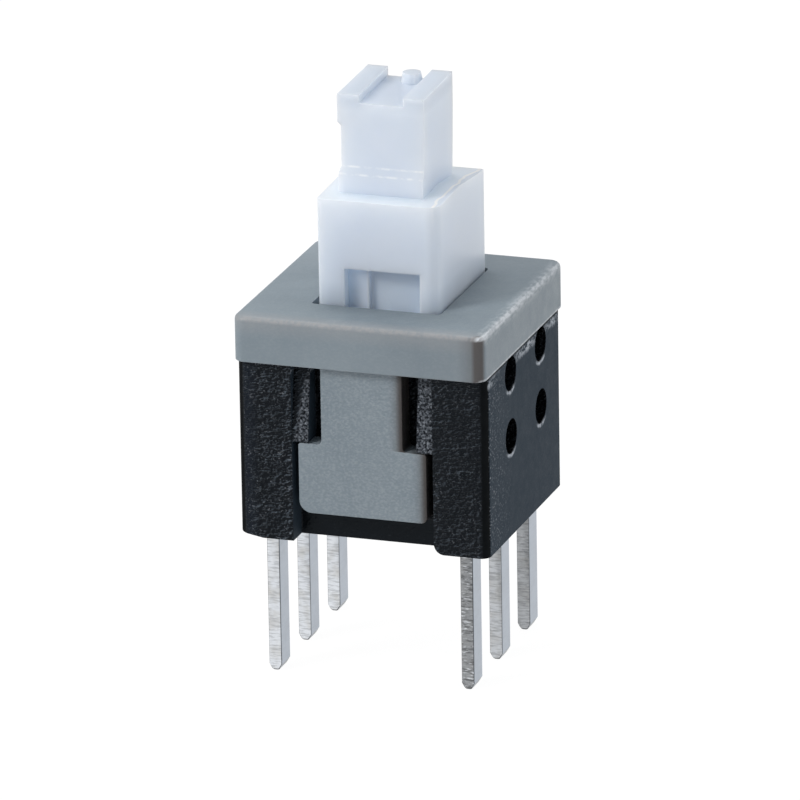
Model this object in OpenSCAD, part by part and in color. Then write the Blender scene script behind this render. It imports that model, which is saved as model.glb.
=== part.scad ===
// Self locking push switch with six terminals: two changeover contacts worked by one plunger.
// A first push latches the plunger down on a heart-shaped cam, and a second push lets it up again.
// Millimetres. The origin lies on the seating plane, under the middle of the housing.
// The front hook of the cover faces -Y, the terminals point to -Z, and the plunger is drawn up, at rest.

/* [Cover] */
// Side of the square cover
cover_side = 5.8; // [5.7:0.05:6.2]
// Height of the cover's rim, from its lower edge to the top face
cover_h = 1.05; // [0.95:0.05:1.3]
// Thickness of the lid over the mechanism
lid_t = 0.54; // [0.44:0.02:0.6]
// Radius of the cover's upright corners
cover_corner_r = 0.28; // [0.16:0.02:0.4]
// Radius along the cover's top edges
cover_edge_r = 0.12; // [0.04:0.02:0.14]
// Gap between the lid's opening and the plunger's block on its tight side
opening_gap = 0.05; // [0.03:0.01:0.08]

/* [Hooks] */
// Width of a hook's stem
hook_stem_w = 1.88; // [1.8:0.04:2.2]
// Width of a hook's head
hook_head_w = 2.96; // [2.9:0.02:3.06]
// Height of the hook's head
hook_head_h = 1.61; // [1.2:0.05:1.7]
// Height of the head's lower edge above the seating plane
hook_bottom_z = 0.69; // [0.6:0.03:0.9]
// Radius of the head's lower left corner
hook_left_r = 0.28; // [0.05:0.01:0.4]
// Radius of the head's lower right corner
hook_right_r = 0.14; // [0.05:0.01:0.4]
// Radius of the head's upper corners
hook_shoulder_r = 0.06; // [0.02:0.01:0.1]
// Radius of the inner corners between the stem and the head
hook_fillet_r = 0.1; // [0.04:0.02:0.14]
// Gap behind the hook and above its shoulders
hook_gap = 0.02; // [0.01:0.01:0.04]

/* [Housing] */
// Width of the housing, across the two rows of terminals
housing_w = 5.78; // [5.7:0.02:5.8]
// Depth of the housing over its front and back columns
housing_d = 5.34; // [5.3:0.02:5.5]
// Height of the housing up to the cover's lower edge
housing_h = 4.14; // [4.0:0.02:4.3]
// Radius of the housing's upright corners
housing_corner_r = 0.22; // [0.1:0.02:0.3]
// Depth of the recess that a hook lies in
recess_depth = 0.55; // [0.45:0.01:0.56]
// Width of the recess between two columns
recess_w = 3.26; // [3.2:0.02:3.4]
// Thickness of the housing's floor
floor_t = 1.1; // [1.08:0.01:1.14]
// Thickness of the neck's side walls, which stand inside the cover
neck_wall = 0.4; // [0.34:0.02:0.44]
// Gap round the neck and above it, inside the cover
neck_gap = 0.04; // [0.02:0.01:0.06]
// Width of a snap rib, which a hook's shoulder catches under
rib_w = 0.38; // [0.3:0.02:0.44]
// How much deeper the rib's ramp lies at its top than at its ledge
rib_ramp = 0.26; // [0.15:0.01:0.35]
// Radius of the lower inner corner of the right front column
column_toe_r = 0.24; // [0.1:0.02:0.4]
// Height of the bevel under the left front column's outer corner
column_bevel_h = 0.1; // [0.04:0.02:0.2]
// Width of the same bevel
column_bevel_w = 0.55; // [0.3:0.05:0.8]
// Bore of the holes in the side walls
side_hole_d = 0.8; // [0.6:0.05:0.9]
// Distance between the two columns of side holes
side_hole_pitch_y = 2.14; // [1.9:0.02:2.3]
// Distance between the two rows of side holes
side_hole_pitch_z = 1.46; // [1.2:0.02:1.5]
// Height of the lower row of side holes
side_hole_z = 2.3; // [2.0:0.05:2.4]
// Distance of the holes' middle behind the middle of the housing
side_hole_mid_y = 0.11; // [0:0.01:0.2]

/* [Terminals] */
// Distance from one terminal of a row to the next
terminal_pitch = 2.0; // [1.9:0.02:2.04]
// Distance between the two rows of terminals
row_pitch = 4.5; // [4.48:0.01:4.54]
// Width of a terminal's leg, along the row
leg_w = 0.58; // [0.4:0.02:0.62]
// Thickness of the terminals' sheet
terminal_t = 0.3; // [0.2:0.01:0.32]
// Length of the legs below the seating plane
leg_length = 3.25; // [2.5:0.05:4]
// Radius of the leg's tip, seen on its wide face
tip_r = 0.09; // [0.05:0.01:0.16]
// Bevel of the leg's tip, seen on its narrow face
tip_bevel = 0.08; // [0.03:0.01:0.1]
// Extra width of the anchor that holds a leg in the floor
anchor_w = 0.12; // [0.06:0.02:0.16]
// Gap round the terminals in the housing, which is moulded round them
terminal_fit = 0.01; // [0.005:0.005:0.015]

/* [Plunger] */
// Full travel of the plunger
full_travel = 2.0; // [1.9:0.05:2.05]
// Travel at which the lock pin holds the plunger
lock_travel = 1.4; // [1.3:0.05:1.45]
// Width of the plunger's block
block_w = 2.79; // [2.7:0.01:2.8]
// How far the block stands to the right of the middle
block_shift = 0.05; // [0:0.01:0.06]
// Distance of the block's front face from the middle
block_front = 1.55; // [1.5:0.01:1.57]
// Distance of the block's back face from the middle
block_back = 1.8; // [1.7:0.01:1.81]
// Height of the block's shoulder at its front edge
shoulder_z = 7.6; // [7.3:0.05:7.9]
// Rise of the shoulder's crown above its front edge
shoulder_crown = 0.06; // [0:0.01:0.1]
// Fall of the shoulder's back edge below its front edge
shoulder_fall = 0.1; // [0:0.01:0.15]
// Radius of the block's front right corner
block_corner_r = 0.3; // [0.1:0.02:0.36]
// Radius of the block's other corners
block_edge_r = 0.1; // [0.04:0.02:0.14]
// Width of the inner body, which the lid holds back
body_w = 3.6; // [3.5:0.02:3.64]
// Gap between the inner body and the floor at full travel
bottom_gap = 0.05; // [0.03:0.01:0.08]

/* [Plunger stem] */
// Width of the stem
stem_w = 1.88; // [1.7:0.02:2.0]
// Distance of the stem's front face from the middle
stem_front = 0.99; // [0.9:0.01:1.05]
// Distance of the stem's back face from the middle
stem_back = 1.03; // [0.9:0.01:1.1]
// Height of the stem's top at its front edge
stem_top_z = 9.87; // [9.5:0.05:10.2]
// Rise of the stem's top towards its back edge
stem_rise = 0.08; // [0:0.01:0.12]
// How far the stem's right side leans out at the top
stem_lean = 0.04; // [0:0.01:0.06]
// How far the foot of the stem stands proud of it
foot_proud = 0.055; // [0.02:0.005:0.08]
// Height of the foot over the front of the shoulder
foot_h = 0.46; // [0.3:0.02:0.6]
// Height of the bevel over the foot
foot_bevel = 0.16; // [0.05:0.01:0.2]
// How far the ridge that holds a cap stands proud on the left
cap_ridge = 0.08; // [0.04:0.01:0.12]
// Height of that ridge
cap_ridge_h = 0.72; // [0.5:0.02:0.9]
// Width of the slot across the top
slot_w = 1.02; // [0.8:0.02:1.2]
// Depth of the slot
slot_depth = 0.2; // [0.1:0.01:0.3]
// Radius of the gate stub in the slot, at its foot
gate_r = 0.27; // [0.15:0.01:0.28]
// Distance of the gate stub behind the middle
gate_y = 0.75; // [0.6:0.01:0.76]

/* [Heart cam] */
// Wire of the lock pin
pin_d = 0.26; // [0.2:0.01:0.28]
// Radius of the lock pin's bends, at the middle of the wire
pin_bend_r = 0.2; // [0.18:0.01:0.22]
// Height of the pin's pivot above the seating plane
pivot_z = 0.87; // [0.85:0.01:0.89]
// Height of the pin's hook above the seating plane
hook_z = 3.5; // [3.48:0.01:3.55]
// Sideways swing of the hook over the plunger's full travel
hook_swing = 0.7; // [0.6:0.01:0.72]
// Length of the pin's foot in its bore
foot_length = 0.95; // [0.7:0.05:1.1]
// Gap between the pin's foot and its bore
pivot_gap = 0.03; // [0.02:0.01:0.04]
// Gap between the pin's hook and the walls of the cam
cam_gap = 0.07; // [0.05:0.01:0.08]
// Depth of the cam's right hand lane, which the hook takes on the way down
cam_depth = 0.45; // [0.4:0.01:0.5]
// Depth of the cam's left hand lane, which the hook takes on the way up
return_depth = 0.3; // [0.2:0.01:0.36]
// Distance of the cam's left wall from the middle
cam_left = 0.73; // [0.7:0.01:0.8]
// Distance of the cam's right wall from the middle
cam_right = 1.02; // [0.96:0.01:1.06]
// Place of the step between the two lanes, left of the middle
cam_step = 0.27; // [0.2:0.01:0.32]
// Height of the cam's ceiling above the seating plane
cam_top_z = 6.04; // [6.0:0.01:6.2]
// Half width of the notch that locks on the hook
notch_r = 0.16; // [0.14:0.01:0.17]

/* [Contacts and spring] */
// Thickness of a contact clip
clip_t = 0.12; // [0.08:0.01:0.14]
// Height of a contact clip
clip_h = 1.3; // [1.2:0.02:1.32]
// Width of a contact clip, along the row of terminals
clip_w = 2.0; // [1.9:0.02:2.2]
// Gap between the clips and the terminals that they wipe
wipe_gap = 0.03; // [0.02:0.01:0.05]
// Gap between the three fingers of a clip
finger_gap = 0.12; // [0.08:0.01:0.16]
// Mean diameter of the return spring
spring_d = 1.5; // [1.4:0.02:1.6]
// Wire of the return spring
spring_wire = 0.2; // [0.14:0.01:0.22]
// Turns of the return spring
spring_turns = 7; // [6:1:8]
// Gap between the spring and the pocket round it
spring_gap = 0.1; // [0.06:0.01:0.12]
// Height of the spring's upper seat above the seating plane
spring_seat_z = 5.55; // [5.3:0.05:5.8]

/* [Hidden] */
$fn = 48;
over = 0.5;                   // how far a cut runs past the face that it opens
sink = 0.05;                  // how deep a form's root lies in the form that carries it
hair = 0.001;                 // keeps a cut clear of the face that it only touches

// The housing's planes
front_y = housing_d / 2;
recess_y = front_y - recess_depth;
slide_gap = 0.05;             // the plunger's play in the housing, front and back
cavity_x = row_pitch / 2 - terminal_t / 2;
cavity_front = block_front + slide_gap;
cavity_back = block_back + slide_gap;
lid_z = housing_h + cover_h - lid_t;
neck_top = lid_z - neck_gap;
plate_out = cavity_x + terminal_t;
anchor_z = 0.45 * floor_t;    // where a terminal widens inside the floor
anchor_h = 0.4 * floor_t;
tip_slope = 30;               // of the bevels on a leg's tip, from the upright
hook_top_z = hook_bottom_z + hook_head_h;
ledge_z = hook_top_z + hook_gap;
neck_x = cavity_x + neck_wall;
neck_y = recess_y + hook_gap - neck_gap;
rib_in = recess_w / 2 - rib_w;

// The plunger's planes
stop_gap = 0.04;              // between the inner body and the lid
body_top = lid_z - stop_gap;
body_bottom = floor_t + full_travel + bottom_gap;
block_left = block_shift - block_w / 2;
block_right = block_shift + block_w / 2;
opening_x = block_right + opening_gap;
stem_base = shoulder_z - foot_h; // the stem starts inside the block
front_slope = shoulder_crown / block_front;
back_slope = (shoulder_crown + shoulder_fall) / block_back;
foot_z = shoulder_z + foot_h;
gate_top_r = 0.75 * gate_r;
post_r = spring_d / 2 - spring_wire / 2 - spring_gap;
pocket_r = spring_d / 2 + spring_wire / 2 + spring_gap;
spring_y = (cam_depth - block_front + block_back) / 2;
post_h = 0.5;                 // height of the post that centres the spring
coil_foot = 0.6 * spring_wire;
coil_lift = 1.1 * spring_wire;
coil_pitch = (spring_seat_z - floor_t - 2 * coil_foot - 2 * coil_lift) / (spring_turns - 2);

// The lock pin turns about an axis along Y and leans to +X as the plunger goes down
pin_r = pin_d / 2;
arm = hook_z - pivot_z;
swing = asin(hook_swing / arm);
drift = arm * swing * PI / 180 / full_travel;
pin_play = 0.08;              // between the lock pin and the hook that keeps it in
pin_y = -recess_y - hook_gap + pin_play + pin_r;
foot_end_y = pin_y + pin_bend_r + foot_length;
hook_end_y = -block_front + cam_depth - cam_gap;
lane_r = pin_r + cam_gap;
rest_play = 0.01;             // extra room in the cam around the resting hook
heart_start = 0.3 * full_travel; // travel at which the hook meets the island
heart_low_z = hook_z + 0.7 * lock_travel;
bore_r = pin_r + pivot_gap;

// A clip's two bumps, and the plates that they reach up and down the side wall
clip_fit = 0.01;              // between a clip and the inner body and its peg
clip_base = body_w / 2 + clip_fit;
clip_bulge = cavity_x - wipe_gap - clip_t - clip_base;
clip_z = body_bottom + clip_fit;
waist_z = clip_z + clip_h / 2;
waist_flat = 0.3;             // half the height of the clip's flat waist
wave_h = clip_h / 2 - waist_flat;
low_bump = waist_z - waist_flat - wave_h / 2;
high_bump = waist_z + waist_flat + wave_h / 2;
make_margin = 0.18;           // how far a bump has run onto its plate when the plunger locks
break_gap = 0.07;             // how much sooner the upper contact opens than the lower one closes
end_margin = 0.15;            // how far the lower plate runs on past the bump's last place
rest_plate_low = high_bump - lock_travel + make_margin + break_gap;
rest_plate_top = housing_h - neck_gap;
lock_plate_top = low_bump - lock_travel + make_margin;
lock_plate_low = low_bump - full_travel - end_margin;
finger_w = (clip_w - 2 * finger_gap) / 3;
plate_in = clip_w / 2 - finger_w;
peg_r = 0.19;                 // the peg that a clip is staked to, and its head
peg_head_r = 0.26;
peg_head_h = 0.06;
peg_gap = 0.03;

// Where the hook's middle stands on the plunger's front face after a travel s
function lean(s) = swing * s / full_travel;
function hook_at(s) = [arm * sin(lean(s)), pivot_z + arm * cos(lean(s)) + s];
function heading(s) = atan2(drift * cos(lean(s)), 1 - drift * sin(lean(s)));
// A point beside that path, a distance off to the right
function beside(s, off) = hook_at(s) + off * [cos(heading(s)), -sin(heading(s))];
function lane_side(from, to, off, steps = 10) =
  [for (i = [0:steps]) beside(from + (to - from) * i / steps, off)];
function back_to_front(points) = [for (i = [len(points) - 1:-1:0]) points[i]];

// Profiles drawn as [Y, Z] and run along X, or drawn as [X, Z] and run along Y
module along_x(x0, x1) {
  translate([x0, 0, 0]) rotate([90, 0, 90]) linear_extrude(x1 - x0) children();
}
module along_y(y0, y1) {
  translate([0, y1, 0]) rotate([90, 0, 0]) linear_extrude(y1 - y0) children();
}
module box(x0, x1, y0, y1, z0, z1) {
  translate([x0, y0, z0]) cube([x1 - x0, y1 - y0, z1 - z0]);
}
module rounded_plate(w, d, r) {
  square([w - 2 * r, d], center = true);
  square([w, d - 2 * r], center = true);
  for (x = [-1, 1], y = [-1, 1])
    translate([x * (w / 2 - r), y * (d / 2 - r)]) circle(r);
}
// What a radius takes off an outward corner; sx and sy point out of the corner
module corner_cut(x, y, sx, sy, r) {
  translate([x, y]) difference() {
    translate([sx * (hair - r) / 2, sy * (hair - r) / 2]) square(r + hair, center = true);
    translate([-sx * r, -sy * r]) circle(r);
  }
}

// Cover: a lid with a rim, one opening and two T-shaped hooks
module lid_form() {
  edge_steps = 5;
  hull() {
    linear_extrude(hair) rounded_plate(cover_side, cover_side, cover_corner_r);
    for (i = [0:edge_steps]) {
      a = 90 * i / edge_steps;
      inset = cover_edge_r * (1 - cos(a));
      side = cover_side - 2 * inset;
      translate([0, 0, cover_h - cover_edge_r * (1 - sin(a)) - hair])
        linear_extrude(hair) rounded_plate(side, side, cover_corner_r - inset);
    }
  }
}
module hook_outline() {
  half = hook_head_w / 2;
  difference() {
    union() {
      translate([-half, hook_bottom_z]) square([hook_head_w, hook_head_h]);
      translate([-hook_stem_w / 2, hook_top_z - sink])
        square([hook_stem_w, lid_z - hook_top_z + 2 * sink]);
      for (side = [-1, 1])
        translate([side * hook_stem_w / 2, hook_top_z]) difference() {
          square(2 * hook_fillet_r, center = true);
          translate([side * hook_fillet_r, hook_fillet_r]) circle(hook_fillet_r);
          translate([side * hook_fillet_r - over, hook_fillet_r]) square(2 * over);
          translate([side * (hook_fillet_r + over) - over, -over]) square(2 * over);
        }
    }
    corner_cut(-half, hook_bottom_z, -1, -1, hook_left_r);
    corner_cut(half, hook_bottom_z, 1, -1, hook_right_r);
    for (side = [-1, 1])
      corner_cut(side * half, hook_top_z, side, 1, hook_shoulder_r);
  }
}
module cover() {
  color([0.56, 0.6, 0.62])
  union() {
    difference() {
      translate([0, 0, housing_h]) lid_form();
      neck_space();
      translate([0, (cavity_back - cavity_front) / 2, housing_h - over])
        linear_extrude(cover_h + 2 * over)
          rounded_plate(2 * opening_x, cavity_front + cavity_back, block_edge_r);
    }
    along_y(-front_y, -recess_y - hook_gap) hook_outline();
    along_y(recess_y + hook_gap, front_y) hook_outline();
  }
}
// The room that the cover leaves for the housing's neck
module neck_space() {
  box(-neck_x - neck_gap, neck_x + neck_gap, -neck_y - neck_gap, neck_y + neck_gap,
      housing_h - over, lid_z);
}

// Housing: an open box with a neck, two recesses for the hooks and the seats of the inner pieces
module housing_plan() {
  difference() {
    rounded_plate(housing_w, housing_d, housing_corner_r);
    for (side = [-1, 1])
      translate([0, side * front_y]) square([recess_w, 2 * recess_depth], center = true);
  }
}
// A rib beside the hook's stem: its ramp spreads the hook, and its lower end is the ledge
module snap_rib(x) {
  along_x(x, x + rib_w + sink)
    polygon([[-recess_y + sink, ledge_z], [-front_y, ledge_z],
             [-front_y + rib_ramp, housing_h], [-recess_y + sink, housing_h]]);
}
module snap_ribs() {
  for (turn = [0, 180])
    rotate([0, 0, turn]) {
      snap_rib(rib_in);
      snap_rib(-rib_in - rib_w - sink);
    }
}
module neck() {
  box(-neck_x, neck_x, -neck_y, neck_y, housing_h - sink, neck_top);
}
module cavity() {
  box(-cavity_x, cavity_x, -cavity_front, cavity_back, floor_t, neck_top + over);
}
module side_holes() {
  for (side = [-1, 1], y = [-0.5, 0.5], row = [0, 1])
    translate([side * plate_out, side_hole_mid_y + y * side_hole_pitch_y,
               side_hole_z + row * side_hole_pitch_z])
      rotate([0, side * 90, 0]) cylinder(h = housing_w / 2 - plate_out + over, d = side_hole_d);
}
// The window in the front wall that the lock pin swings in, and the bore of its foot
module pin_window() {
  top = arm + lane_r;
  edge = lane_r;
  along_y(-recess_y - over, -cavity_front + sink) {
    translate([0, pivot_z]) {
      circle(edge);
      polygon([[-edge, 0], [-edge, top], [top * sin(swing) + edge * cos(swing), top],
               [edge * cos(swing), -edge * sin(swing)]]);
    }
  }
  translate([0, foot_end_y + pivot_gap, pivot_z]) rotate([90, 0, 0])
    cylinder(h = foot_end_y + pivot_gap + recess_y, r = bore_r);
}
// The photographed part's front columns end in one rounded and one bevelled corner
module column_toes() {
  along_y(-front_y - over, -recess_y - hair) {
    corner_cut(recess_w / 2, 0, -1, -1, column_toe_r);
    polygon([[-housing_w / 2 - over, -over], [-housing_w / 2 + column_bevel_w, -over],
             [-housing_w / 2 + column_bevel_w, 0],
             [-housing_w / 2 - over, column_bevel_h * (1 + over / column_bevel_w)]]);
  }
}
module housing() {
  color([0.13, 0.14, 0.15])
  difference() {
    union() {
      linear_extrude(housing_h) housing_plan();
      snap_ribs();
      neck();
    }
    difference() {
      cavity();
      translate([0, spring_y, 0]) cylinder(h = floor_t + post_h, r = post_r);
    }
    side_holes();
    pin_window();
    column_toes();
    for (side = [-1, 1], place = [-1, 0, 1])
      terminal_sheet(side, place, terminal_fit);
  }
}

// Terminals: flat stampings on edge in the side walls, with a leg below and a contact plate above
module terminal_outline(place, grow) {
  y = place * terminal_pitch;
  low = place < 0 ? rest_plate_low : lock_plate_low;
  top = place > 0 ? lock_plate_top : rest_plate_top;
  half = leg_w / 2 + grow;
  difference() {
    translate([y - half, -leg_length - grow]) square([2 * half, top + leg_length + 2 * grow]);
    corner_cut(y - half, -leg_length - grow, -1, -1, tip_r);
    corner_cut(y + half, -leg_length - grow, 1, -1, tip_r);
  }
  translate([y - half - anchor_w, anchor_z - grow])
    square([2 * (half + anchor_w), anchor_h + 2 * grow]);
  if (place != 0)
    translate([(place < 0 ? y + half - sink : plate_in - grow), low - grow])
      square([abs(y) - half - plate_in + sink + grow, top - low + 2 * grow]);
}
module terminal_sheet(side, place, grow = 0) {
  x0 = side * row_pitch / 2 - terminal_t / 2 - grow;
  x1 = side * row_pitch / 2 + terminal_t / 2 + grow;
  along_x(x0, x1) terminal_outline(place, grow);
}
// The tip's bevels on the narrow faces of the leg
module tip_bevels(side) {
  for (face = [-1, 1])
    translate([side * row_pitch / 2 + face * terminal_t / 2, 0, -leg_length])
      rotate([0, face * tip_slope, 0]) cube([2 * tip_bevel, 2 * housing_d, 4 * tip_bevel], center = true);
}
module terminal(side, place) {
  color([0.78, 0.8, 0.83])
  difference() {
    terminal_sheet(side, place);
    tip_bevels(side);
  }
}
module left_front_terminal() { terminal(-1, -1); }
module left_middle_terminal() { terminal(-1, 0); }
module left_back_terminal() { terminal(-1, 1); }
module right_front_terminal() { terminal(1, -1); }
module right_middle_terminal() { terminal(1, 0); }
module right_back_terminal() { terminal(1, 1); }

// Plunger: a block through the lid, a stem for a cap, and an inner body with the cam and the clips
module block_plan() {
  difference() {
    translate([block_left, -block_front]) square([block_w, block_front + block_back]);
    corner_cut(block_right, -block_front, 1, -1, block_corner_r);
    corner_cut(block_left, -block_front, -1, -1, block_edge_r);
    corner_cut(block_right, block_back, 1, 1, block_edge_r);
    corner_cut(block_left, block_back, -1, 1, block_edge_r);
  }
}
module block() {
  intersection() {
    translate([0, 0, body_bottom]) linear_extrude(shoulder_z) block_plan();
    along_x(-cover_side, cover_side)
      polygon([[-block_front - over, body_bottom], [block_back + over, body_bottom],
               [block_back + over, shoulder_z - shoulder_fall - over * back_slope],
               [0, shoulder_z + shoulder_crown],
               [-block_front - over, shoulder_z - over * front_slope]]);
  }
}
module stem() {
  left = -stem_w / 2;
  right = stem_w / 2;
  top = stem_top_z + stem_rise;
  ridge_z = stem_top_z - cap_ridge_h;
  intersection() {
    along_y(-stem_front - foot_proud, stem_back)
      polygon([[left - foot_proud, stem_base], [right, stem_base],
               [right + stem_lean, ridge_z], [right + stem_lean, top],
               [left - cap_ridge / 2, top], [left - cap_ridge, stem_top_z - cap_ridge / 2],
               [left - cap_ridge, ridge_z + cap_ridge], [left, ridge_z],
               [left, foot_z + foot_bevel], [left - foot_proud, foot_z]]);
    along_x(-cover_side, cover_side)
      polygon([[-stem_front - foot_proud, stem_base], [-stem_front - foot_proud, foot_z],
               [-stem_front, foot_z + foot_bevel], [-stem_front, stem_top_z],
               [stem_back, top], [stem_back, stem_base]]);
  }
}
module top_slot() {
  along_x(-slot_w / 2, slot_w / 2)
    polygon([[-stem_front - over, stem_top_z - slot_depth],
             [stem_back + over, stem_top_z + stem_rise - slot_depth],
             [stem_back + over, stem_top_z + over], [-stem_front - over, stem_top_z + over]]);
}
module gate_stub() {
  foot = stem_top_z - slot_depth - sink;
  translate([gate_r / 2, gate_y, foot])
    cylinder(h = stem_top_z + stem_rise - foot, r1 = gate_r, r2 = gate_top_r);
}
// The heart: an island in the cam whose top notch catches the hook
module heart() {
  right_flank = lane_side(heart_start, lock_travel, -lane_r);
  tip = right_flank[len(right_flank) - 1];
  notch_z = hook_z + lock_travel + notch_r - pin_r;
  left = -2 * notch_r;
  difference() {
    polygon(concat(right_flank,
                   [[tip[0] - sink, notch_z + sink], [-notch_r - sink, notch_z + sink],
                    [left, notch_z - notch_r / 2], [left, heart_low_z]]));
    translate([0, notch_z]) circle(notch_r);
    translate([-notch_r, notch_z]) square([2 * notch_r, over]);
  }
}
module down_lane() {
  translate(hook_at(0)) circle(lane_r + rest_play);
  polygon(concat(lane_side(0, full_travel, lane_r),
                 back_to_front(lane_side(0, full_travel, -lane_r))));
  translate([-cam_step, hook_z + lock_travel])
    square([cam_step + cam_right, cam_top_z - hook_z - lock_travel]);
}
module return_lane() {
  polygon([[-lane_r, hook_z], [lane_r, hook_z], [hook_swing / 2, hook_z + lock_travel],
           [hook_swing / 2, cam_top_z], [-cam_left, cam_top_z], [-cam_left, hook_z + lock_travel / 2]]);
}
module cam() {
  cut_front = -block_front - over;
  along_y(cut_front, -block_front + cam_depth) difference() {
    down_lane();
    heart();
  }
  along_y(cut_front, -block_front + return_depth) difference() {
    return_lane();
    heart();
  }
}
module clip_peg(side) {
  root = body_w / 2 - sink;
  reach = clip_base + clip_t + clip_fit - root;
  translate([side * root, 0, waist_z]) rotate([0, side * 90, 0]) {
    cylinder(h = reach, r = peg_r);
    translate([0, 0, reach]) cylinder(h = peg_head_h, r1 = peg_head_r, r2 = peg_r);
  }
}
module plunger() {
  color([0.8, 0.84, 0.9])
  difference() {
    union() {
      block();
      box(-body_w / 2, body_w / 2, -block_front, block_back, body_bottom, body_top);
      difference() {
        stem();
        top_slot();
      }
      gate_stub();
      for (side = [-1, 1])
        clip_peg(side);
    }
    cam();
    translate([0, spring_y, body_bottom - over])
      cylinder(h = spring_seat_z - body_bottom + over, r = pocket_r);
  }
}

// Lock pin: one wire with its foot in the floor and its hook in the cam
module pin_bend(turn) {
  rotate([0, 90, 0]) rotate([0, 0, turn])
    rotate_extrude(angle = 90) translate([pin_bend_r, 0]) circle(pin_r);
}
module lock_pin() {
  color([0.72, 0.73, 0.75])
  union() {
    translate([0, pin_y + pin_bend_r, pivot_z]) rotate([-90, 0, 0])
      cylinder(h = foot_length, r = pin_r);
    translate([0, pin_y + pin_bend_r, pivot_z + pin_bend_r]) pin_bend(-90);
    translate([0, pin_y, pivot_z + pin_bend_r]) cylinder(h = arm - 2 * pin_bend_r, r = pin_r);
    translate([0, pin_y + pin_bend_r, hook_z - pin_bend_r]) pin_bend(180);
    translate([0, pin_y + pin_bend_r, hook_z]) rotate([-90, 0, 0])
      cylinder(h = hook_end_y - pin_y - pin_bend_r, r = pin_r);
  }
}

// Return spring: a round wire coil between the floor and its seat in the plunger, with closed ends
function coil_rise(t) =
  t < 1 ? coil_lift * t
  : t < spring_turns - 1 ? coil_lift + coil_pitch * (t - 1)
  : coil_lift * (t - spring_turns + 2) + coil_pitch * (spring_turns - 2);
module return_spring() {
  steps = 20;
  sides = 8;
  rings = spring_turns * steps;
  points = [
    for (i = [0:rings], k = [0:sides - 1])
      let (t = i / steps, a = 360 * t, b = 360 * k / sides,
           r = spring_d / 2 + spring_wire / 2 * cos(b),
           z = floor_t + coil_foot + coil_rise(t) + spring_wire / 2 * sin(b))
      [r * cos(a), r * sin(a), z]
  ];
  walls = [
    for (i = [0:rings - 1], k = [0:sides - 1])
      let (n = (k + 1) % sides)
      [i * sides + k, (i + 1) * sides + k, (i + 1) * sides + n, i * sides + n]
  ];
  first = [for (k = [0:sides - 1]) k];
  last = [for (k = [sides - 1:-1:0]) rings * sides + k];
  color([0.7, 0.71, 0.73])
  translate([0, spring_y, 0]) polyhedron(points, concat(walls, [first, last]));
}

// Contact clip: a wave of springy sheet with three fingers at each end, staked to the plunger's side
function clip_x(z) =
  clip_base + clip_bulge * (1 - cos(360 * max(0, abs(z - waist_z) - waist_flat) / wave_h)) / 2;
module contact_clip(side) {
  steps = 12;
  bump = [for (i = [0:steps]) wave_h * i / steps];
  heights = concat([for (z = bump) clip_z + z], [for (z = bump) waist_z + waist_flat + z]);
  color([0.8, 0.66, 0.36])
  difference() {
    along_y(-clip_w / 2, clip_w / 2)
      polygon(concat([for (z = heights) [side * clip_x(z), z]],
                     [for (z = back_to_front(heights)) [side * (clip_x(z) + clip_t), z]]));
    for (y = [-0.5, 0.5], end = [-1, 1])
      translate([side * clip_base, y * (finger_w + finger_gap), waist_z + end * (waist_flat + over)])
        cube([2 * over, finger_gap, 2 * over], center = true);
    translate([side * clip_base - over, 0, waist_z]) rotate([0, 90, 0])
      cylinder(h = 2 * over, r = peg_r + peg_gap);
  }
}
module left_contact_clip() { contact_clip(-1); }
module right_contact_clip() { contact_clip(1); }

housing();
cover();
plunger();
lock_pin();
return_spring();
left_contact_clip();
right_contact_clip();
left_front_terminal();
left_middle_terminal();
left_back_terminal();
right_front_terminal();
right_middle_terminal();
right_back_terminal();
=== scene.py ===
import math

import bpy
from mathutils import Matrix, Vector


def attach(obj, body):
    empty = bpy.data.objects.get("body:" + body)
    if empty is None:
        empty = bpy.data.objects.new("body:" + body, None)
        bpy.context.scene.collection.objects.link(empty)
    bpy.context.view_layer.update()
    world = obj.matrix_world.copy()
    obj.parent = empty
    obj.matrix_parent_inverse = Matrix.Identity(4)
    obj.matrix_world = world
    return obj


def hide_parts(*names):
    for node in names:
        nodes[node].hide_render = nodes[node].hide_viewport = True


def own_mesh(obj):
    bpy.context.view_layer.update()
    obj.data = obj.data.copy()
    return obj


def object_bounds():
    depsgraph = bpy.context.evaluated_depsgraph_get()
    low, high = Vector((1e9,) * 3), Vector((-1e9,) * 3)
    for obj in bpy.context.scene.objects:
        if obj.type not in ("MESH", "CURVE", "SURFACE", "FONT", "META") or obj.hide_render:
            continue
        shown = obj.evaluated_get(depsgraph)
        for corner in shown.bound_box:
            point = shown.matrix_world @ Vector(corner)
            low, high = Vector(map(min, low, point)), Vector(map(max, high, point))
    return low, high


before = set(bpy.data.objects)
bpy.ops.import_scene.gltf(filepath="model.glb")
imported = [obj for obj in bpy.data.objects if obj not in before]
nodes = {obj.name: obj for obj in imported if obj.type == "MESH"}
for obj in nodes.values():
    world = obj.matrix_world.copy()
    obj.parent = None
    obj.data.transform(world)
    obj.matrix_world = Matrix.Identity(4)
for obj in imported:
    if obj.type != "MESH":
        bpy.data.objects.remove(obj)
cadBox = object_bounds()
mm = 0.001
print("frame loaded:", len(nodes), "nodes")


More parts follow.
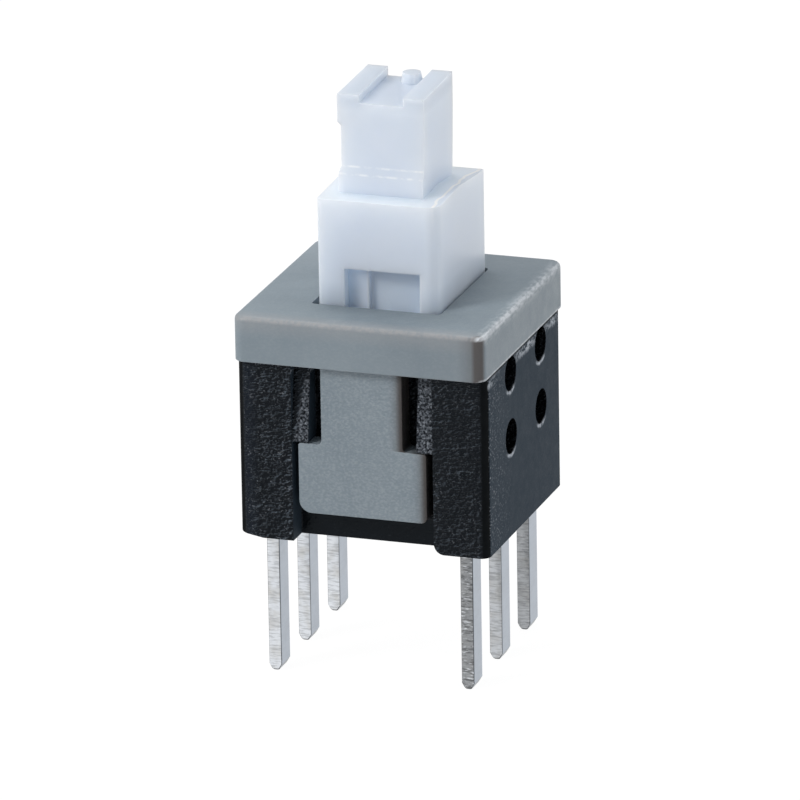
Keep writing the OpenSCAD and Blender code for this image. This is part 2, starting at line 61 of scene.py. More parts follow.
class Wire:
    # a socket that can be added and multiplied like a number
    def __init__(self, graph, socket):
        self.graph = graph
        self.socket = socket

    def __add__(self, other):
        return self.graph.maths("ADD", self, other)

    def __radd__(self, other):
        return self.graph.maths("ADD", other, self)

    def __sub__(self, other):
        return self.graph.maths("SUBTRACT", self, other)

    def __rsub__(self, other):
        return self.graph.maths("SUBTRACT", other, self)

    def __mul__(self, other):
        return self.graph.maths("MULTIPLY", self, other)

    def __rmul__(self, other):
        return self.graph.maths("MULTIPLY", other, self)

    def __abs__(self):
        return self.graph.maths("ABSOLUTE", self)


class Graph:
    # one material and the nodes that it is made of
    def __init__(self, name):
        self.material = bpy.data.materials.new(name)
        self.material.use_nodes = True
        self.tree = self.material.node_tree
        self.shader = self.tree.nodes["Principled BSDF"]
        self.place = self.add("ShaderNodeTexCoord", out="Object")
        self.facing = self.add("ShaderNodeTexCoord", out="Normal")

    def plug(self, socket, value):
        if isinstance(value, Wire):
            self.tree.links.new(value.socket, socket)
        else:
            socket.default_value = value

    def add(self, kind, settings=None, inputs=None, out=0):
        node = self.tree.nodes.new(kind)
        for key, value in (settings or {}).items():
            setattr(node, key, value)
        for key, value in (inputs or {}).items():
            self.plug(node.inputs[key], value)
        return Wire(self, node.outputs[out])

    def maths(self, operation, *values):
        return self.add("ShaderNodeMath", {"operation": operation}, dict(enumerate(values)))

    def axis(self, vector, name):
        return self.add("ShaderNodeSeparateXYZ", inputs={0: vector}, out=name)

    def axes(self, names="XYZ"):
        return [self.axis(self.place, name) for name in names]

    def noise(self, scale, detail=2.0, stretch=(1, 1, 1), roughness=0.5, shift=(0, 0, 0)):
        place = self.place
        if stretch != (1, 1, 1) or shift != (0, 0, 0):
            place = self.add("ShaderNodeMapping",
                             inputs={"Vector": place, "Location": shift, "Scale": stretch})
        return self.add("ShaderNodeTexNoise", {"noise_dimensions": "3D"},
                        {"Vector": place, "Scale": scale, "Detail": detail, "Roughness": roughness})

    def span(self, value, low, high, to=(0.0, 1.0)):
        # 0 at low and 1 at high, or the two numbers of to, and level beyond them
        return self.add("ShaderNodeMapRange", {"clamp": True},
                        {"Value": value, "From Min": low, "From Max": high,
                         "To Min": to[0], "To Max": to[1]})

    def zone(self, name, low, high, soft):
        # 1 between two places on an axis, with soft ends
        place = self.axis(self.place, name)
        return self.span(place, low - soft, low + soft) * self.span(place, high + soft, high - soft)

    def flat(self, name):
        # how squarely a face looks along an axis, either way: 1 where it does, 0 where it lies along it
        return abs(self.axis(self.facing, name))

    def edges(self, turned, square):
        # 1 where the surface looks along no axis, as on rounded edges, and 0 on flat faces
        most = self.maths("MAXIMUM", self.flat("X"), self.flat("Y"))
        return self.span(self.maths("MAXIMUM", most, self.flat("Z")), square, turned)

    def colour(self, value):
        return value if isinstance(value, Wire) else (*value, 1)

    def blend(self, mask, first, second):
        return self.add("ShaderNodeMix", {"data_type": "RGBA"},
                        {"Factor": mask, 6: self.colour(first), 7: self.colour(second)}, out=2)

    def bump(self, height, depth):
        return self.add("ShaderNodeBump", inputs={"Height": height, "Distance": depth, "Strength": 1.0})

    def finish(self, **sockets):
        for key, value in sockets.items():
            self.plug(self.shader.inputs[key.replace("_", " ")], value)
        return self.material


# pairs of numbers in a look are the two ends of a soft step
housingLook = {
    "dark": (0.0008, 0.0014, 0.0028),
    "flankHighlight": (0.090, 0.108, 0.130),                # painted highlights on the lit flanks of the leathery moulded skin
    # painted glints, also used for the side walls' specks
    "glint": (0.36, 0.38, 0.41),
    "outer": (0.0060, 0.0085, 0.0140),              # the smoother left edge of the front
    "side": (0.0290, 0.0420, 0.0570),               # the smooth side walls, lighter as a painted sheen
    "corner": (0.0006, 0.0008, 0.0010),             # painted shade on the rounded upright corners
    "rib": (0.175, 0.190, 0.215),                   # painted light on the ramps that the hook snaps under
    "flashAndHighlight": (0.58, 0.62, 0.67),                    # worn moulding flash under the cover, partly a painted highlight on the rounded top edge, and painted highlights at the holes' lower rims
    "grainSize": 0.085 * mm,
    "grainDepth": 0.075 * mm,
    "flank": (-0.014 * mm, 0.0, 0.018 * mm),        # from a bump to its lit flank
    "ridge": (-0.01, 0.17),                         # how much the noise differs across a flank
    "sideRelief": 0.05, "cornerRelief": 0.05, "sillRelief": 0.15,   # the bump's share that stays there
    "onSide": (0.90, 0.98), "onFront": (0.90, 0.97),                # how squarely such a face looks
    "cornerX": (0.20, 0.45), "cornerY": (0.10, 0.35),
    "soft": 0.02 * mm,                              # soft ends of the zones
    "wall": 2.89 * mm,                              # place of the side walls' outer faces
    "columns": (2.25 * mm, 2.35 * mm),              # the skin is on the columns, not in the recess
    "acrossFront": (2.4 * mm, -1.6 * mm),           # and gets stronger to the left
    "sill": 0.66 * mm, "recess": 1.62 * mm,         # top of the smooth sill, half the recess's width
    "outerEdge": (-2.40 * mm, -2.62 * mm),
    "innerEdge": (-1.76 * mm, -1.66 * mm),
    "ramp": 1.25 * mm, "ledge": 2.30 * mm,          # inner side and lower end of the ramps
    "shadowSlant": 0.15, "slantFrom": 1.61 * mm,          # the left column's painted shadow on the left ramp widens upwards
    "rampFade": (3.9 * mm, 3.0 * mm),
    "glintsFrom": (-0.9 * mm, -2.47 * mm),          # the side walls' painted glints, denser to the front
    "glintLine": (-2.46 * mm, -2.42 * mm),
    "flashFront": (-1.6 * mm, -2.5 * mm), "flashMiddle": (-0.55 * mm, 0.80 * mm),
    "flashBack": (1.35 * mm, 1.95 * mm), "flashEnds": 0.35 * mm,
    "flashLow": 3.90 * mm, "flashHigh": 4.11 * mm,
    "holeLow": 2.30 * mm, "holePitch": 1.46 * mm,   # height of the lower holes, up to the upper ones
    "holeMid": 0.11 * mm, "holeSpread": 1.07 * mm,
    "rimOuter": (0.50 * mm, 0.45 * mm), "rimInner": (0.37 * mm, 0.395 * mm),    # from a hole's middle
    "rimLow": (-0.30 * mm, -0.40 * mm), "rimsFrom": (1.6 * mm, 1.7 * mm),
    "gapShade": (4.08 * mm, 4.12 * mm),                 # painted shade in the gap under the cover
}


def housingPlastic():
    g = Graph("housingPlastic")
    look = housingLook
    fine = 1 / look["grainSize"]
    soft = look["soft"]
    x, y, z = g.axes()
    onSide = g.span(g.flat("X"), *look["onSide"])
    onFront = g.span(g.flat("Y"), *look["onFront"])
    onCorner = g.span(g.flat("X"), *look["cornerX"]) * g.span(g.flat("Y"), *look["cornerY"])
    outside = g.span(abs(x), look["wall"] - 0.03 * mm, look["wall"] - 0.01 * mm)
    # leathery skin: painted highlights on the lit flanks of its bumps, where a noise differs from the same
    # noise a little further on
    skin = {"scale": fine * 0.80, "detail": 1.5, "stretch": (0.78, 0.78, 1.25), "roughness": 0.55}
    worms = g.noise(**skin)
    litFlanks = g.span(worms - g.noise(shift=look["flank"], **skin), *look["ridge"])
    patches = g.span(g.noise(fine / 5, 2.0), 0.32, 0.58, to=(0.35, 1.0))
    patches = patches * g.span(x, *look["acrossFront"], to=(0.62, 1.0))
    patches = patches * g.span(abs(y), *look["columns"])
    onSill = onFront * g.zone("X", -look["recess"], look["recess"], soft)
    onSill = onSill * g.span(z, look["sill"], look["sill"] - 0.1 * mm)
    outerEdge = onFront * g.span(x, *look["outerEdge"])
    innerEdge = onFront * g.zone("X", *look["innerEdge"], soft)
    flankHighlights = litFlanks * patches * (1 - onSill * 0.9) * (1 - outerEdge * 0.6)
    flankHighlights = flankHighlights + litFlanks * litFlanks * innerEdge
    tone = g.blend(outerEdge, look["dark"], look["outer"])
    tone = g.blend(flankHighlights, tone, look["flankHighlight"])
    # side walls: smooth, lighter as a painted sheen, with fine painted glints towards the front
    tone = g.blend(onSide, tone, look["side"])
    # painted shade on the rounded upright corners
    tone = g.blend(onCorner, tone, look["corner"])
    sideGlints = g.span(g.noise(fine * 2.1, 1.5, stretch=(1, 0.6, 1)), 0.56, 0.76)
    nearFront = g.span(y, *look["glintsFrom"])
    glintLine = g.zone("Y", *look["glintLine"], soft)
    sideGlints = sideGlints * onSide * outside * (nearFront * 0.55 + glintLine * 0.4 + 0.04)
    tone = g.blend(sideGlints, tone, look["glint"])
    # ramps: painted light, cut on the left ramp by a painted shadow of the left column
    shadowSlant = (z - look["ledge"]) * look["shadowSlant"] - look["slantFrom"]
    leftRampLit = g.zone("X", -look["recess"], -look["ramp"], soft) * g.span(x - shadowSlant, 0.0, 0.06 * mm)
    # the left ramp's painted light fades upwards
    leftRampLit = leftRampLit * g.span(z, *look["rampFade"], to=(0.40, 0.95))
    rightRamp = g.zone("X", look["ramp"], look["recess"], soft)
    rampsLit = (leftRampLit + rightRamp) * onFront * g.span(z, look["ledge"], look["ledge"] + 0.05 * mm)
    crumbs = g.noise(fine * 1.7, 1.5)
    tone = g.blend(rampsLit * g.span(crumbs, 0.40, 0.66), tone, look["rib"])
    # painted glints on the ridges and ramps
    glints = g.span(g.noise(fine * 1.7, 1.0), 0.64, 0.76)
    tone = g.blend(glints * (onFront * patches * 0.34 + rampsLit * 0.35), tone, look["glint"])
    # flash under the cover, partly a painted highlight on the rounded top edge, in ragged patches, and
    # painted highlights at the lower rims of the side holes
    ragged = g.span(g.noise(fine * 0.6, 4.0, stretch=(1, 0.6, 1), roughness=0.8), 0.44, 0.60)
    flashZone = g.span(y, *look["flashFront"]) + g.zone("Y", *look["flashMiddle"], look["flashEnds"])
    flashZone = flashZone + g.span(y, *look["flashBack"])
    flashAndHighlight = onSide * ragged * flashZone * g.zone("Z", look["flashLow"], look["flashHigh"], 0.06 * mm)
    holeY = abs(y - look["holeMid"]) - look["holeSpread"]
    holeZ = g.maths("WRAP", z - look["holeLow"], look["holePitch"] / 2, -look["holePitch"] / 2)
    away = g.maths("SQRT", holeY * holeY + holeZ * holeZ)
    rimHighlights = g.span(away, *look["rimOuter"]) * g.span(away, *look["rimInner"])
    rimHighlights = rimHighlights * g.span(holeZ, *look["rimLow"]) * outside * g.span(z, *look["rimsFrom"])
    # patchy strength of the painted rim highlights
    worn = g.span(g.noise(fine * 0.9, 3.0), 0.38, 0.60, to=(0.15, 0.85))
    tone = g.blend(flashAndHighlight * 0.85 + rimHighlights * worn, tone, look["flashAndHighlight"])
    # painted shade in the gap under the cover
    tone = g.blend(g.span(z, *look["gapShade"]), tone, look["corner"])
    height = litFlanks * 0.5 + worms * 0.5
    relief = 1 - onSide * (1 - look["sideRelief"])
    relief = relief * (1 - onCorner * (1 - look["cornerRelief"])) * (1 - onSill * (1 - look["sillRelief"]))
    rough = g.span(g.noise(fine / 3, 2.0), 0.3, 0.7, to=(0.285, 0.37)) + onSide * 0.38 + onCorner * 0.48
    return g.finish(Base_Color=tone, Roughness=rough, Normal=g.bump(height * relief, look["grainDepth"]),
                    Specular_IOR_Level=0.15, Specular_Tint=(0.78, 0.90, 1.0, 1.0))


coverLook = {
    "body": (0.215, 0.258, 0.288),
    "pale": (0.245, 0.288, 0.316),
    "fleck": (0.36, 0.395, 0.42),
    "dip": (0.165, 0.202, 0.228),                   # the dark side of the hook's grain
    "light": (0.305, 0.350, 0.385),                 # painted light on the top towards its left and back edges
    "brownShade": (0.085, 0.072, 0.066),                 # painted shade on the front right upright corner and the hook's right edges
    "shade": (0.040, 0.036, 0.034),                 # the hook's right flanks
    "warmHighlight": (0.345, 0.342, 0.345),                  # painted highlight on the upper front edge
    "shine": (0.74, 0.77, 0.80),                    # painted highlight on the upper right edge
    "grainSize": 0.075 * mm,
    "grainDepth": 0.014 * mm,
    "rim": 4.14 * mm,                               # height of the rim's lower edge
    "top": 5.19 * mm,
    "side": 2.90 * mm,                              # half of the cover's width
    "stem": 0.94 * mm, "head": 1.48 * mm, "headTop": 2.30 * mm,     # half widths and height of the hook
    "lightBack": (0.2 * mm, 2.4 * mm), "lightLeft": (-1.2 * mm, -2.7 * mm),
    "highlightFront": (0.46 * mm, 0.04 * mm), "highlightRight": (0.34 * mm, 0.08 * mm),   # measured from the edge
    "shadeBeforeCorner": (2.30 * mm, 2.66 * mm),
    "hookShade": (-0.36 * mm, -0.04 * mm), "hookLine": (-0.15 * mm, 0.0),
    "alongSide": (1.2 * mm, -2.4 * mm),             # the right edge's painted highlight gets brighter to the front
    "upperEdge": (0.12, 0.35), "notTop": (0.97, 0.80),              # how far a rounded edge looks up
}


def coverPlastic():
    g = Graph("coverPlastic")
    look = coverLook
    fine = 1 / look["grainSize"]
    x, y, z = g.axes()
    rightwards = g.axis(g.facing, "X")
    forwards = 0 - g.axis(g.facing, "Y")
    grain = g.noise(fine * 1.5, 2.0, stretch=(0.8, 0.8, 1.2))
    broad = g.noise(fine / 14, 2.0)
    tone = g.blend(g.span(broad, 0.3, 0.75), look["body"], look["pale"])
    # painted light on the top, brighter towards its back and left
    lightTop = g.span(y, *look["lightBack"], to=(0, 0.55)) + g.span(x, *look["lightLeft"], to=(0, 0.35))
    tone = g.blend(lightTop * g.span(g.flat("Z"), 0.90, 0.97), tone, look["light"])
    onHook = g.span(z, look["rim"] + 0.02 * mm, look["rim"] - 0.02 * mm)
    tone = g.blend(g.span(grain, 0.50, 0.66) * (0.10 + onHook * 0.22), tone, look["fleck"])
    tone = g.blend(g.span(grain, 0.50, 0.34) * (0.06 + onHook * 0.24), tone, look["dip"])
    # painted highlights near the upper front and the upper right edge
    fromTop = look["top"] - z
    toFront = g.span(fromTop + abs(y + look["side"]), *look["highlightFront"])
    toRight = g.span(fromTop + abs(x - look["side"]), *look["highlightRight"])
    broken = g.span(g.noise(fine * 0.9, 3.0, stretch=(1, 0.45, 1)), 0.42, 0.60)
    tone = g.blend(toFront * (0.42 + broken * 0.12), tone, look["warmHighlight"])
    tone = g.blend(toRight * toRight * (0.10 + broken * 0.34), tone, look["shine"])
    # painted shade on the upright corner, and on the front face just before it
    corner = g.span(rightwards, 0.0, 0.3) * g.span(rightwards, 0.97, 0.82) * g.span(forwards, 0.2, 0.35)
    shadeBeforeCorner = g.span(x, *look["shadeBeforeCorner"]) * g.span(forwards, 0.6, 0.8)
    shadeBeforeCorner = shadeBeforeCorner * (1 - onHook) * (1 - corner)
    tone = g.blend(corner * (0.88 - onHook * 0.15) + shadeBeforeCorner * 0.42, tone, look["brownShade"])
    # the hook's right edges lie in a warm shade
    aroundHeadTop = (look["headTop"] + 0.01 * mm, look["headTop"] - 0.01 * mm)
    inFromEdge = x - g.span(z, *aroundHeadTop, to=(look["stem"], look["head"]))
    hookEdge = onHook * g.span(inFromEdge, *look["hookShade"]) * g.span(forwards, -0.2, 0.2)
    tone = g.blend(hookEdge * hookEdge * 0.9, tone, look["brownShade"])
    tone = g.blend(hookEdge * g.span(inFromEdge, *look["hookLine"]) * 0.9, tone, look["shade"])
    tone = g.blend(onHook * g.span(rightwards, 0.5, 0.8), tone, look["shade"])
    # painted highlights on the rounded upper edges and the rim's lower line
    upper = g.span(g.flat("Z"), *look["upperEdge"]) * g.span(g.flat("Z"), *look["notTop"]) * (1 - onHook)
    tone = g.blend(upper * g.span(forwards, 0.2, 0.5) * (0.20 + broken * 0.45), tone, look["warmHighlight"])
    alongSide = g.span(y, *look["alongSide"], to=(0.45, 1.0))
    upperRight = upper * g.span(rightwards, 0.2, 0.5) * (0.55 + broken * 0.45) * alongSide
    tone = g.blend(upperRight, tone, look["shine"])
    lowerLine = g.span(z, look["rim"] + 0.06 * mm, look["rim"] + 0.03 * mm) * g.span(rightwards, 0.5, 0.8)
    tone = g.blend(lowerLine * (1 - onHook) * (0.35 + broken * 0.45), tone, look["shine"])
    height = grain * (0.35 + onHook * 0.65) + broad * 0.3
    rough = g.span(g.noise(fine / 4, 2.0), 0.3, 0.7, to=(0.38, 0.50))
    return g.finish(Base_Color=tone, Roughness=rough, Normal=g.bump(height, look["grainDepth"]),
                    Specular_IOR_Level=0.28)


plungerLook = {
    "milk": (0.690, 0.750, 0.830),
    "cloud": (0.735, 0.785, 0.855),
    "deep": (0.585, 0.645, 0.735),                  # lower down, where the grey cover shows through
    "foot": (0.430, 0.490, 0.555),                  # just above the cover
    "edgeHighlight": (0.98, 0.99, 1.00),                     # painted highlights on thin rounded edges and moulding lines
    "window": (0.62, 0.70, 0.80),                   # the cam's upper end
    "lane": (0.74, 0.82, 0.98),                     # painted light on its deeper left part, which the left wall shades
    "bright": (0.79, 0.86, 0.96),                   # painted light on the right faces and the shoulder
    "scatter": 0.9 * mm,
    "waveSize": 1.1 * mm,
    "waveDepth": 0.010 * mm,
    "soft": 0.02 * mm,                              # soft ends of the zones
    "coverTop": 5.19 * mm, "footHigh": 5.74 * mm,   # up to where the dark above the cover reaches
    "shoulder": 7.60 * mm,
    "stemFoot": 8.06 * mm, "footBevel": 0.16 * mm,
    "tip": (9.5 * mm, 9.75 * mm),                   # the floor of the top slot and above
    "lineX": 1.31 * mm, "lineSwing": 0.28 * mm,     # the wavy painted highlight line along the shoulder's right edge
    "lineEdge": (0.045 * mm, 0.02 * mm),
    "beyondLine": (0.03 * mm, 0.05 * mm), "beforeEdge": (1.5 * mm, 1.40 * mm),
    "windowDepth": (-1.52 * mm, -1.0 * mm), "windowHalf": 1.2 * mm, "windowTop": (6.08 * mm, 6.05 * mm),
    "laneStep": (-0.30 * mm, -0.24 * mm), "stepLine": (-0.30 * mm, -0.20 * mm),
}


def plungerPlastic():
    g = Graph("plungerPlastic")
    look = plungerLook
    size = 1 / look["waveSize"]
    soft = look["soft"]
    x, z = g.axes("XZ")
    cloud = g.noise(size * 0.8, 3.0)
    wave = g.noise(size, 1.0)
    fine = g.noise(size * 14, 2.0)
    tone = g.blend(g.span(cloud, 0.35, 0.7), look["milk"], look["cloud"])
    tone = g.blend(g.span(z, look["coverTop"], look["shoulder"], to=(0.9, 0.0)), tone, look["deep"])
    # painted light on the right faces and the shoulder
    rightFace = g.span(g.axis(g.facing, "X"), 0.5, 0.9)
    belowStem = g.span(z, look["stemFoot"], look["stemFoot"] - 0.1 * mm)
    onShoulder = g.span(g.axis(g.facing, "Z"), 0.7, 0.9) * belowStem
    tone = g.blend(rightFace * 0.5 + onShoulder * 0.9, tone, look["bright"])
    # a wavy moulding line along the shoulder's right edge, painted as a highlight, with a faint painted shade
    # beyond it
    wander = (g.noise(size * 1.6, 1.5) - 0.5) * look["lineSwing"]
    fromLine = x - wander - look["lineX"]
    tone = g.blend(onShoulder * g.span(abs(fromLine), *look["lineEdge"]), tone, look["edgeHighlight"])
    beyond = g.span(fromLine, *look["beyondLine"]) * g.span(x, *look["beforeEdge"])
    tone = g.blend(onShoulder * beyond * 0.35, tone, look["deep"])
    tone = g.blend(g.span(z, *look["tip"], to=(0.0, 0.75)), tone, look["deep"])
    tone = g.blend(g.span(z, look["footHigh"], look["coverTop"], to=(0.0, 0.55)), tone, look["foot"])
    # the cam's upper end, with painted light on its deeper lane on the left and a painted highlight along the
    # lane's step
    inside = g.zone("Y", *look["windowDepth"], soft) * g.span(z, *look["windowTop"])
    inside = inside * g.zone("X", -look["windowHalf"], look["windowHalf"], 0.05 * mm)
    camTone = g.blend(g.span(x, *look["laneStep"]), look["lane"], look["window"])
    tone = g.blend(inside, tone, camTone)
    tone = g.blend(inside * g.zone("X", *look["stepLine"], soft) * 0.30, tone, look["edgeHighlight"])
    # painted highlights on thin edges, and broken painted highlight lines around the stem's foot
    broken = g.span(fine, 0.35, 0.6)
    sharp = g.edges(0.82, 0.96) * g.span(g.flat("Z"), 0.15, 0.35)
    footTop = look["stemFoot"] + look["footBevel"]
    foot = g.zone("Z", look["stemFoot"] - 0.02 * mm, look["stemFoot"] + 0.01 * mm, soft)
    foot = foot + g.zone("Z", footTop - 0.01 * mm, footTop + 0.02 * mm, soft)
    foot = foot * g.span(g.flat("Y"), 0.7, 0.9) * g.span(g.noise(size * 5, 2.0), 0.42, 0.6)
    tone = g.blend(sharp * (0.50 + broken * 0.5) * (1 - inside) + foot * 0.8, tone, look["edgeHighlight"])
    rough = g.span(fine, 0.2, 0.8, to=(0.285, 0.345))
    return g.finish(Base_Color=tone, Roughness=rough, Normal=g.bump(wave, look["waveDepth"]),
                    Subsurface_Weight=0.75, Subsurface_Radius=(1.0, 1.0, 1.0),
                    Subsurface_Scale=look["scatter"], IOR=1.45)


terminalLook = {
    "tin": (0.80, 0.83, 0.87),
    "shear": (0.30, 0.31, 0.32),
    "torn": (0.055, 0.057, 0.060),                  # dark marks across the cut faces
    "worn": (0.185, 0.188, 0.190),                  # darker tone of the cut faces of the right row
    "bluish": (0.33, 0.375, 0.435),                 # the rolled faces
    "tarnish": (0.62, 0.62, 0.61),
    "rim": (0.06, 0.065, 0.07),                     # painted dark reflections on rounded edges, against the bright ground
    "streakSize": 0.040 * mm,
    "streakDepth": 0.012 * mm,
    "rightRow": (0.0, 1.0 * mm),
    "frontPair": (-0.8 * mm, -1.2 * mm), "backPair": (0.8 * mm, 1.2 * mm),
    "squarely": (0.6, 0.8),                         # how squarely a cut or rolled face looks
}


def terminalMetal():
    g = Graph("terminalMetal")
    look = terminalLook
    fine = 1 / look["streakSize"]
    x, y = g.axes("XY")
    cutFace = g.span(g.flat("Y"), *look["squarely"])
    rolledFace = g.span(g.flat("X"), *look["squarely"])
    streaks = g.noise(fine, 2.0, stretch=(0.12, 0.12, 1.0), roughness=0.65)
    clouds = g.noise(fine / 8, 2.0)
    draw = g.noise(fine * 0.7, 2.0, stretch=(1.0, 1.0, 0.10))
    onRight = g.span(x, *look["rightRow"])
    frontRight = onRight * g.span(y, *look["frontPair"])
    backRight = onRight * g.span(y, *look["backPair"])
    # the cut faces get darker and more streaked on the right row, most on its front leg
    rightRowWeight = 0.08 + onRight * 0.36 + frontRight * 0.50 + backRight * 0.28
    tone = g.blend(g.span(clouds, 0.45, 0.75), look["tin"], look["tarnish"])
    tone = g.blend(cutFace * rightRowWeight * 0.85, tone, look["worn"])
    tone = g.blend(cutFace * g.span(streaks, 0.48, 0.60) * (0.40 + rightRowWeight * 0.50), tone, look["shear"])
    torn = g.noise(fine * 0.9, 3.0, stretch=(0.20, 0.20, 1.0), roughness=0.7)
    marks = 0.03 + onRight * 0.05 + frontRight * 0.56 + backRight * 0.20
    tone = g.blend(cutFace * g.span(torn, 0.48, 0.60) * marks, tone, look["torn"])
    gleam = g.span(g.noise(fine * 0.9, 2.0, stretch=(0.25, 0.25, 1.0), shift=(0, 0, mm)), 0.56, 0.68)
    tone = g.blend(cutFace * gleam * frontRight * 0.7, tone, look["tin"])
    tone = g.blend(rolledFace * 0.85, tone, look["bluish"])
    # painted dark reflections on the rounded edges
    tone = g.blend(g.edges(0.80, 0.95), tone, look["rim"])
    height = cutFace * streaks * (0.8 + rightRowWeight * 0.8) + draw * 0.12 + clouds * 0.3
    rough = g.span(streaks, 0.3, 0.7, to=(0.285, 0.36)) + cutFace * 0.06
    return g.finish(Base_Color=tone, Metallic=1.0, Roughness=rough,
                    Normal=g.bump(height, look["streakDepth"]))


clipLook = {
    "bright": (0.74, 0.62, 0.40), "dull": (0.62, 0.50, 0.31),
    "cloudScale": 900.0, "lineScale": 9000.0, "stretch": (1, 0.1, 1),
    "rough": (0.285, 0.38), "depth": 0.004 * mm,
}
wireLook = {
    "bright": (0.60, 0.60, 0.62), "dull": (0.46, 0.46, 0.48),
    "cloudScale": 1200.0, "lineScale": 12000.0, "stretch": (1, 1, 1),
    "rough": (0.285, 0.39), "depth": 0.003 * mm,
}


def springyMetal(name, look):
    # the metal of the inner pieces
    g = Graph(name)
    clouds = g.noise(look["cloudScale"], 3.0)
    lines = g.noise(look["lineScale"], 2.0, stretch=look["stretch"])
    tone = g.blend(g.span(clouds, 0.35, 0.7), look["bright"], look["dull"])
    rough = g.span(lines, 0.3, 0.7, to=look["rough"])
    return g.finish(Base_Color=tone, Metallic=1.0, Roughness=rough, Normal=g.bump(lines, look["depth"]))


finishes = {
    "housing_plastic": housingPlastic(),
    "cover_plastic": coverPlastic(),
    "plunger_plastic": plungerPlastic(),
    "terminal_metal": terminalMetal(),
    "clip_metal": springyMetal("clipMetal", clipLook),
    "wire": springyMetal("wireSteel", wireLook),
}
print("materials made:", len(finishes))


def makeActive(piece):
    bpy.ops.object.select_all(action="DESELECT")
    piece.select_set(True)
    bpy.context.view_layer.objects.active = piece


mergeLook = {"distance": 0.0005 * mm, "angle": math.radians(0.6)}


def copyOfNode(node, name):
    # a copy of a CAD node with its loose triangles merged into whole faces
    piece = bpy.data.objects.new(name, nodes[node].data.copy())
    bpy.context.scene.collection.objects.link(piece)
    makeActive(piece)
    bpy.ops.object.mode_set(mode="EDIT")
    bpy.ops.mesh.select_all(action="SELECT")
    bpy.ops.mesh.remove_doubles(threshold=mergeLook["distance"])
    bpy.ops.mesh.dissolve_limited(angle_limit=mergeLook["angle"])
    bpy.ops.object.mode_set(mode="OBJECT")
    return piece


edgeLook = {"smooth": math.radians(30), "bevelFrom": math.radians(32)}


def softenEdges(piece, width, segments):
    makeActive(piece)
    bpy.ops.object.shade_smooth_by_angle(angle=edgeLook["smooth"])
    bevel = piece.modifiers.new("softEdges", "BEVEL")
    bevel.width = width
    bevel.segments = segments
    bevel.limit_method = "ANGLE"
    bevel.angle_limit = edgeLook["bevelFrom"]
    bevel.use_clamp_overlap = True
    bevel.harden_normals = True     # keeps the flat faces flat
    bpy.ops.object.modifier_apply(modifier=bevel.name)


def wearFinish(piece, slot):
    piece.data.materials.clear()
    piece.data.materials.append(finishes[slot])


def dress(piece, body, slot, replaced):
    wearFinish(piece, slot)
    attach(piece, body)
    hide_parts(replaced)


# plastic pieces with softly rounded edges
softPieces = {
    "housing_shell": {"node": "housing", "body": "case", "slot": "housing_plastic", "edge": 0.022 * mm},
    "cover_shell": {"node": "cover", "body": "case", "slot": "cover_plastic", "edge": 0.03 * mm},
    "plunger_body": {"node": "plunger", "body": "slider", "slot": "plunger_plastic", "edge": 0.045 * mm},
}
for name, look in softPieces.items():
    piece = copyOfNode(look["node"], name)
    softenEdges(piece, look["edge"], 3)
    dress(piece, look["body"], look["slot"], look["node"])
    print("softened", name, len(piece.data.polygons), "faces")

legLook = {"edge": 0.026 * mm, "segments": 2}
for side in ("left", "right"):
    for place in ("front", "middle", "back"):
        node = f"{side}_{place}_terminal"
        piece = copyOfNode(node, f"{side}_{place}_leg")
        softenEdges(piece, legLook["edge"], legLook["segments"])
        dress(piece, "case", "terminal_metal", node)
print("terminals softened")

plainNodes = {"left_contact_clip": "clip_metal", "right_contact_clip": "clip_metal", "lock_pin": "wire"}
for node, slot in plainNodes.items():
    wearFinish(nodes[node], slot)
print("clips and lock pin dressed")

coilSmooth = math.radians(50)
coil = copyOfNode("return_spring", "coil_spring")
bpy.ops.object.shade_smooth_by_angle(angle=coilSmooth)
dress(coil, "case", "wire", "return_spring")
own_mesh(coil)


# a floor of pale paper that the camera, mirrors and clear pieces see as nearly white
floorLook = {"height": cadBox[0][2], "size": 0.9, "glow": 0.90, "strength": 1.08,
             "paper": (0.62, 0.62, 0.63), "mottle": (0.61, 0.61, 0.62), "mottleScale": 40.0}


def floorMaterial():
    g = Graph("floorPaper")
    look = floorLook
    tone = g.blend(g.span(g.noise(look["mottleScale"], 2.0), 0.3, 0.7), look["paper"], look["mottle"])
    g.finish(Base_Color=tone, Roughness=0.9, Specular_IOR_Level=0.1)
    glow = g.add("ShaderNodeEmission", inputs={"Color": (1, 1, 1, 1), "Strength": look["strength"]})
    rays = [g.add("ShaderNodeLightPath", out=f"Is {ray} Ray") for ray in ("Camera", "Glossy", "Transmission")]
    share = g.span(rays[0] + rays[1] + rays[2], 0.0, 1.0, to=(0.0, look["glow"]))
    mixed = g.add("ShaderNodeMixShader", inputs={0: share, 1: Wire(g, g.shader.outputs[0]), 2: glow})
    g.plug(g.tree.nodes["Material Output"].inputs["Surface"], mixed)
    return g.material


bpy.ops.object.select_all(action="DESELECT")
bpy.ops.mesh.primitive_plane_add(size=floorLook["size"], location=(0, 0, floorLook["height"]))
floor = bpy.context.object
floor.name = "floor"
floor.data.materials.append(floorMaterial())

worldLook = {"colour": (0.93, 0.96, 1.0, 1), "light": 0.36, "seen": 1.05}
world = bpy.data.worlds.new("studio")
bpy.context.scene.world = world
world.use_nodes = True
background = world.node_tree.nodes["Background"]
background.inputs["Color"].default_value = worldLook["colour"]
paths = world.node_tree.nodes.new("ShaderNodeLightPath")
strength = world.node_tree.nodes.new("ShaderNodeMapRange")
strength.inputs["To Min"].default_value = worldLook["light"]
strength.inputs["To Max"].default_value = worldLook["seen"]
world.node_tree.links.new(paths.outputs["Is Camera Ray"], strength.inputs["Value"])
world.node_tree.links.new(strength.outputs["Result"], background.inputs["Strength"])


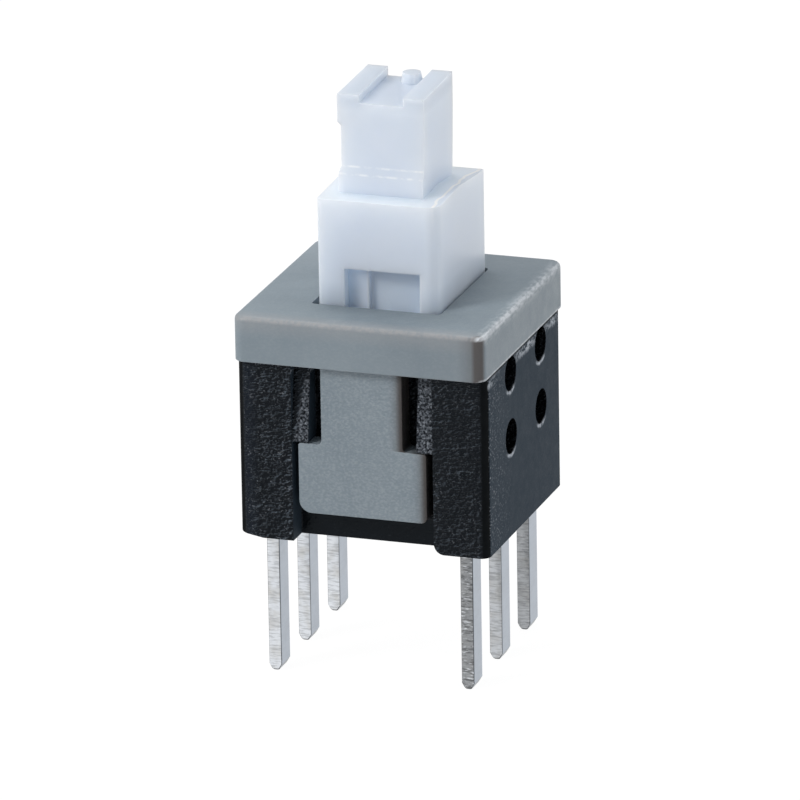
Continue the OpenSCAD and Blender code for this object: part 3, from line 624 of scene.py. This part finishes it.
def direction(azimuth, elevation):
    # from the object towards a camera or lamp; azimuth 0 is straight in front, to the right is positive
    a = math.radians(azimuth)
    e = math.radians(elevation)
    return Vector((math.sin(a) * math.cos(e), -math.cos(a) * math.cos(e), math.sin(e)))


lamps = {
    "keyLamp": {"azimuth": -42, "elevation": 34, "size": 0.09, "power": 0.34},
    "glintLamp": {"azimuth": -24, "elevation": 9, "size": 0.03, "power": 0.03},
    "topLamp": {"azimuth": -150, "elevation": 72, "size": 0.14, "power": 0.24},
    "sideLamp": {"azimuth": 98, "elevation": 22, "size": 0.10, "power": 0.14},
}
lampDistance = 0.25
lampAim = Vector((0, 0, 3 * mm))
for name, look in lamps.items():
    away = direction(look["azimuth"], look["elevation"])
    data = bpy.data.lights.new(name, "AREA")
    data.shape = "DISK"
    data.size = look["size"]
    data.energy = look["power"]
    lamp = bpy.data.objects.new(name, data)
    bpy.context.scene.collection.objects.link(lamp)
    lamp.location = lampAim + away * lampDistance
    lamp.rotation_euler = away.to_track_quat("Z", "Y").to_euler()
print("stage and lamps set")

# right and up move the target sideways and upwards in the picture
cameraLook = {"azimuth": 18.8715, "elevation": 18.723, "roll": -0.9525, "distance": 0.2245,
              "lens": 454.147, "sensor": 36, "near": 0.01, "far": 5,
              "right": -0.0105 * mm, "up": 2.4241 * mm}
turn = math.radians(cameraLook["azimuth"])
roll = math.radians(cameraLook["roll"])
back = direction(cameraLook["azimuth"], cameraLook["elevation"])
right = Vector((math.cos(turn), math.sin(turn), 0))
up = back.cross(right)
target = right * cameraLook["right"] + up * cameraLook["up"]
cameraData = bpy.data.cameras.new("camera")
cameraData.lens = cameraLook["lens"]
cameraData.sensor_width = cameraLook["sensor"]
cameraData.clip_start = cameraLook["near"]
cameraData.clip_end = cameraLook["far"]
camera = bpy.data.objects.new("camera", cameraData)
bpy.context.scene.collection.objects.link(camera)
camera.location = target + back * cameraLook["distance"]
across = right * math.cos(roll) + up * math.sin(roll)
upwards = up * math.cos(roll) - right * math.sin(roll)
camera.rotation_euler = Matrix((across, upwards, back)).transposed().to_euler()
bpy.context.scene.camera = camera
bpy.context.scene.view_settings.view_transform = "Standard"
print("camera set")
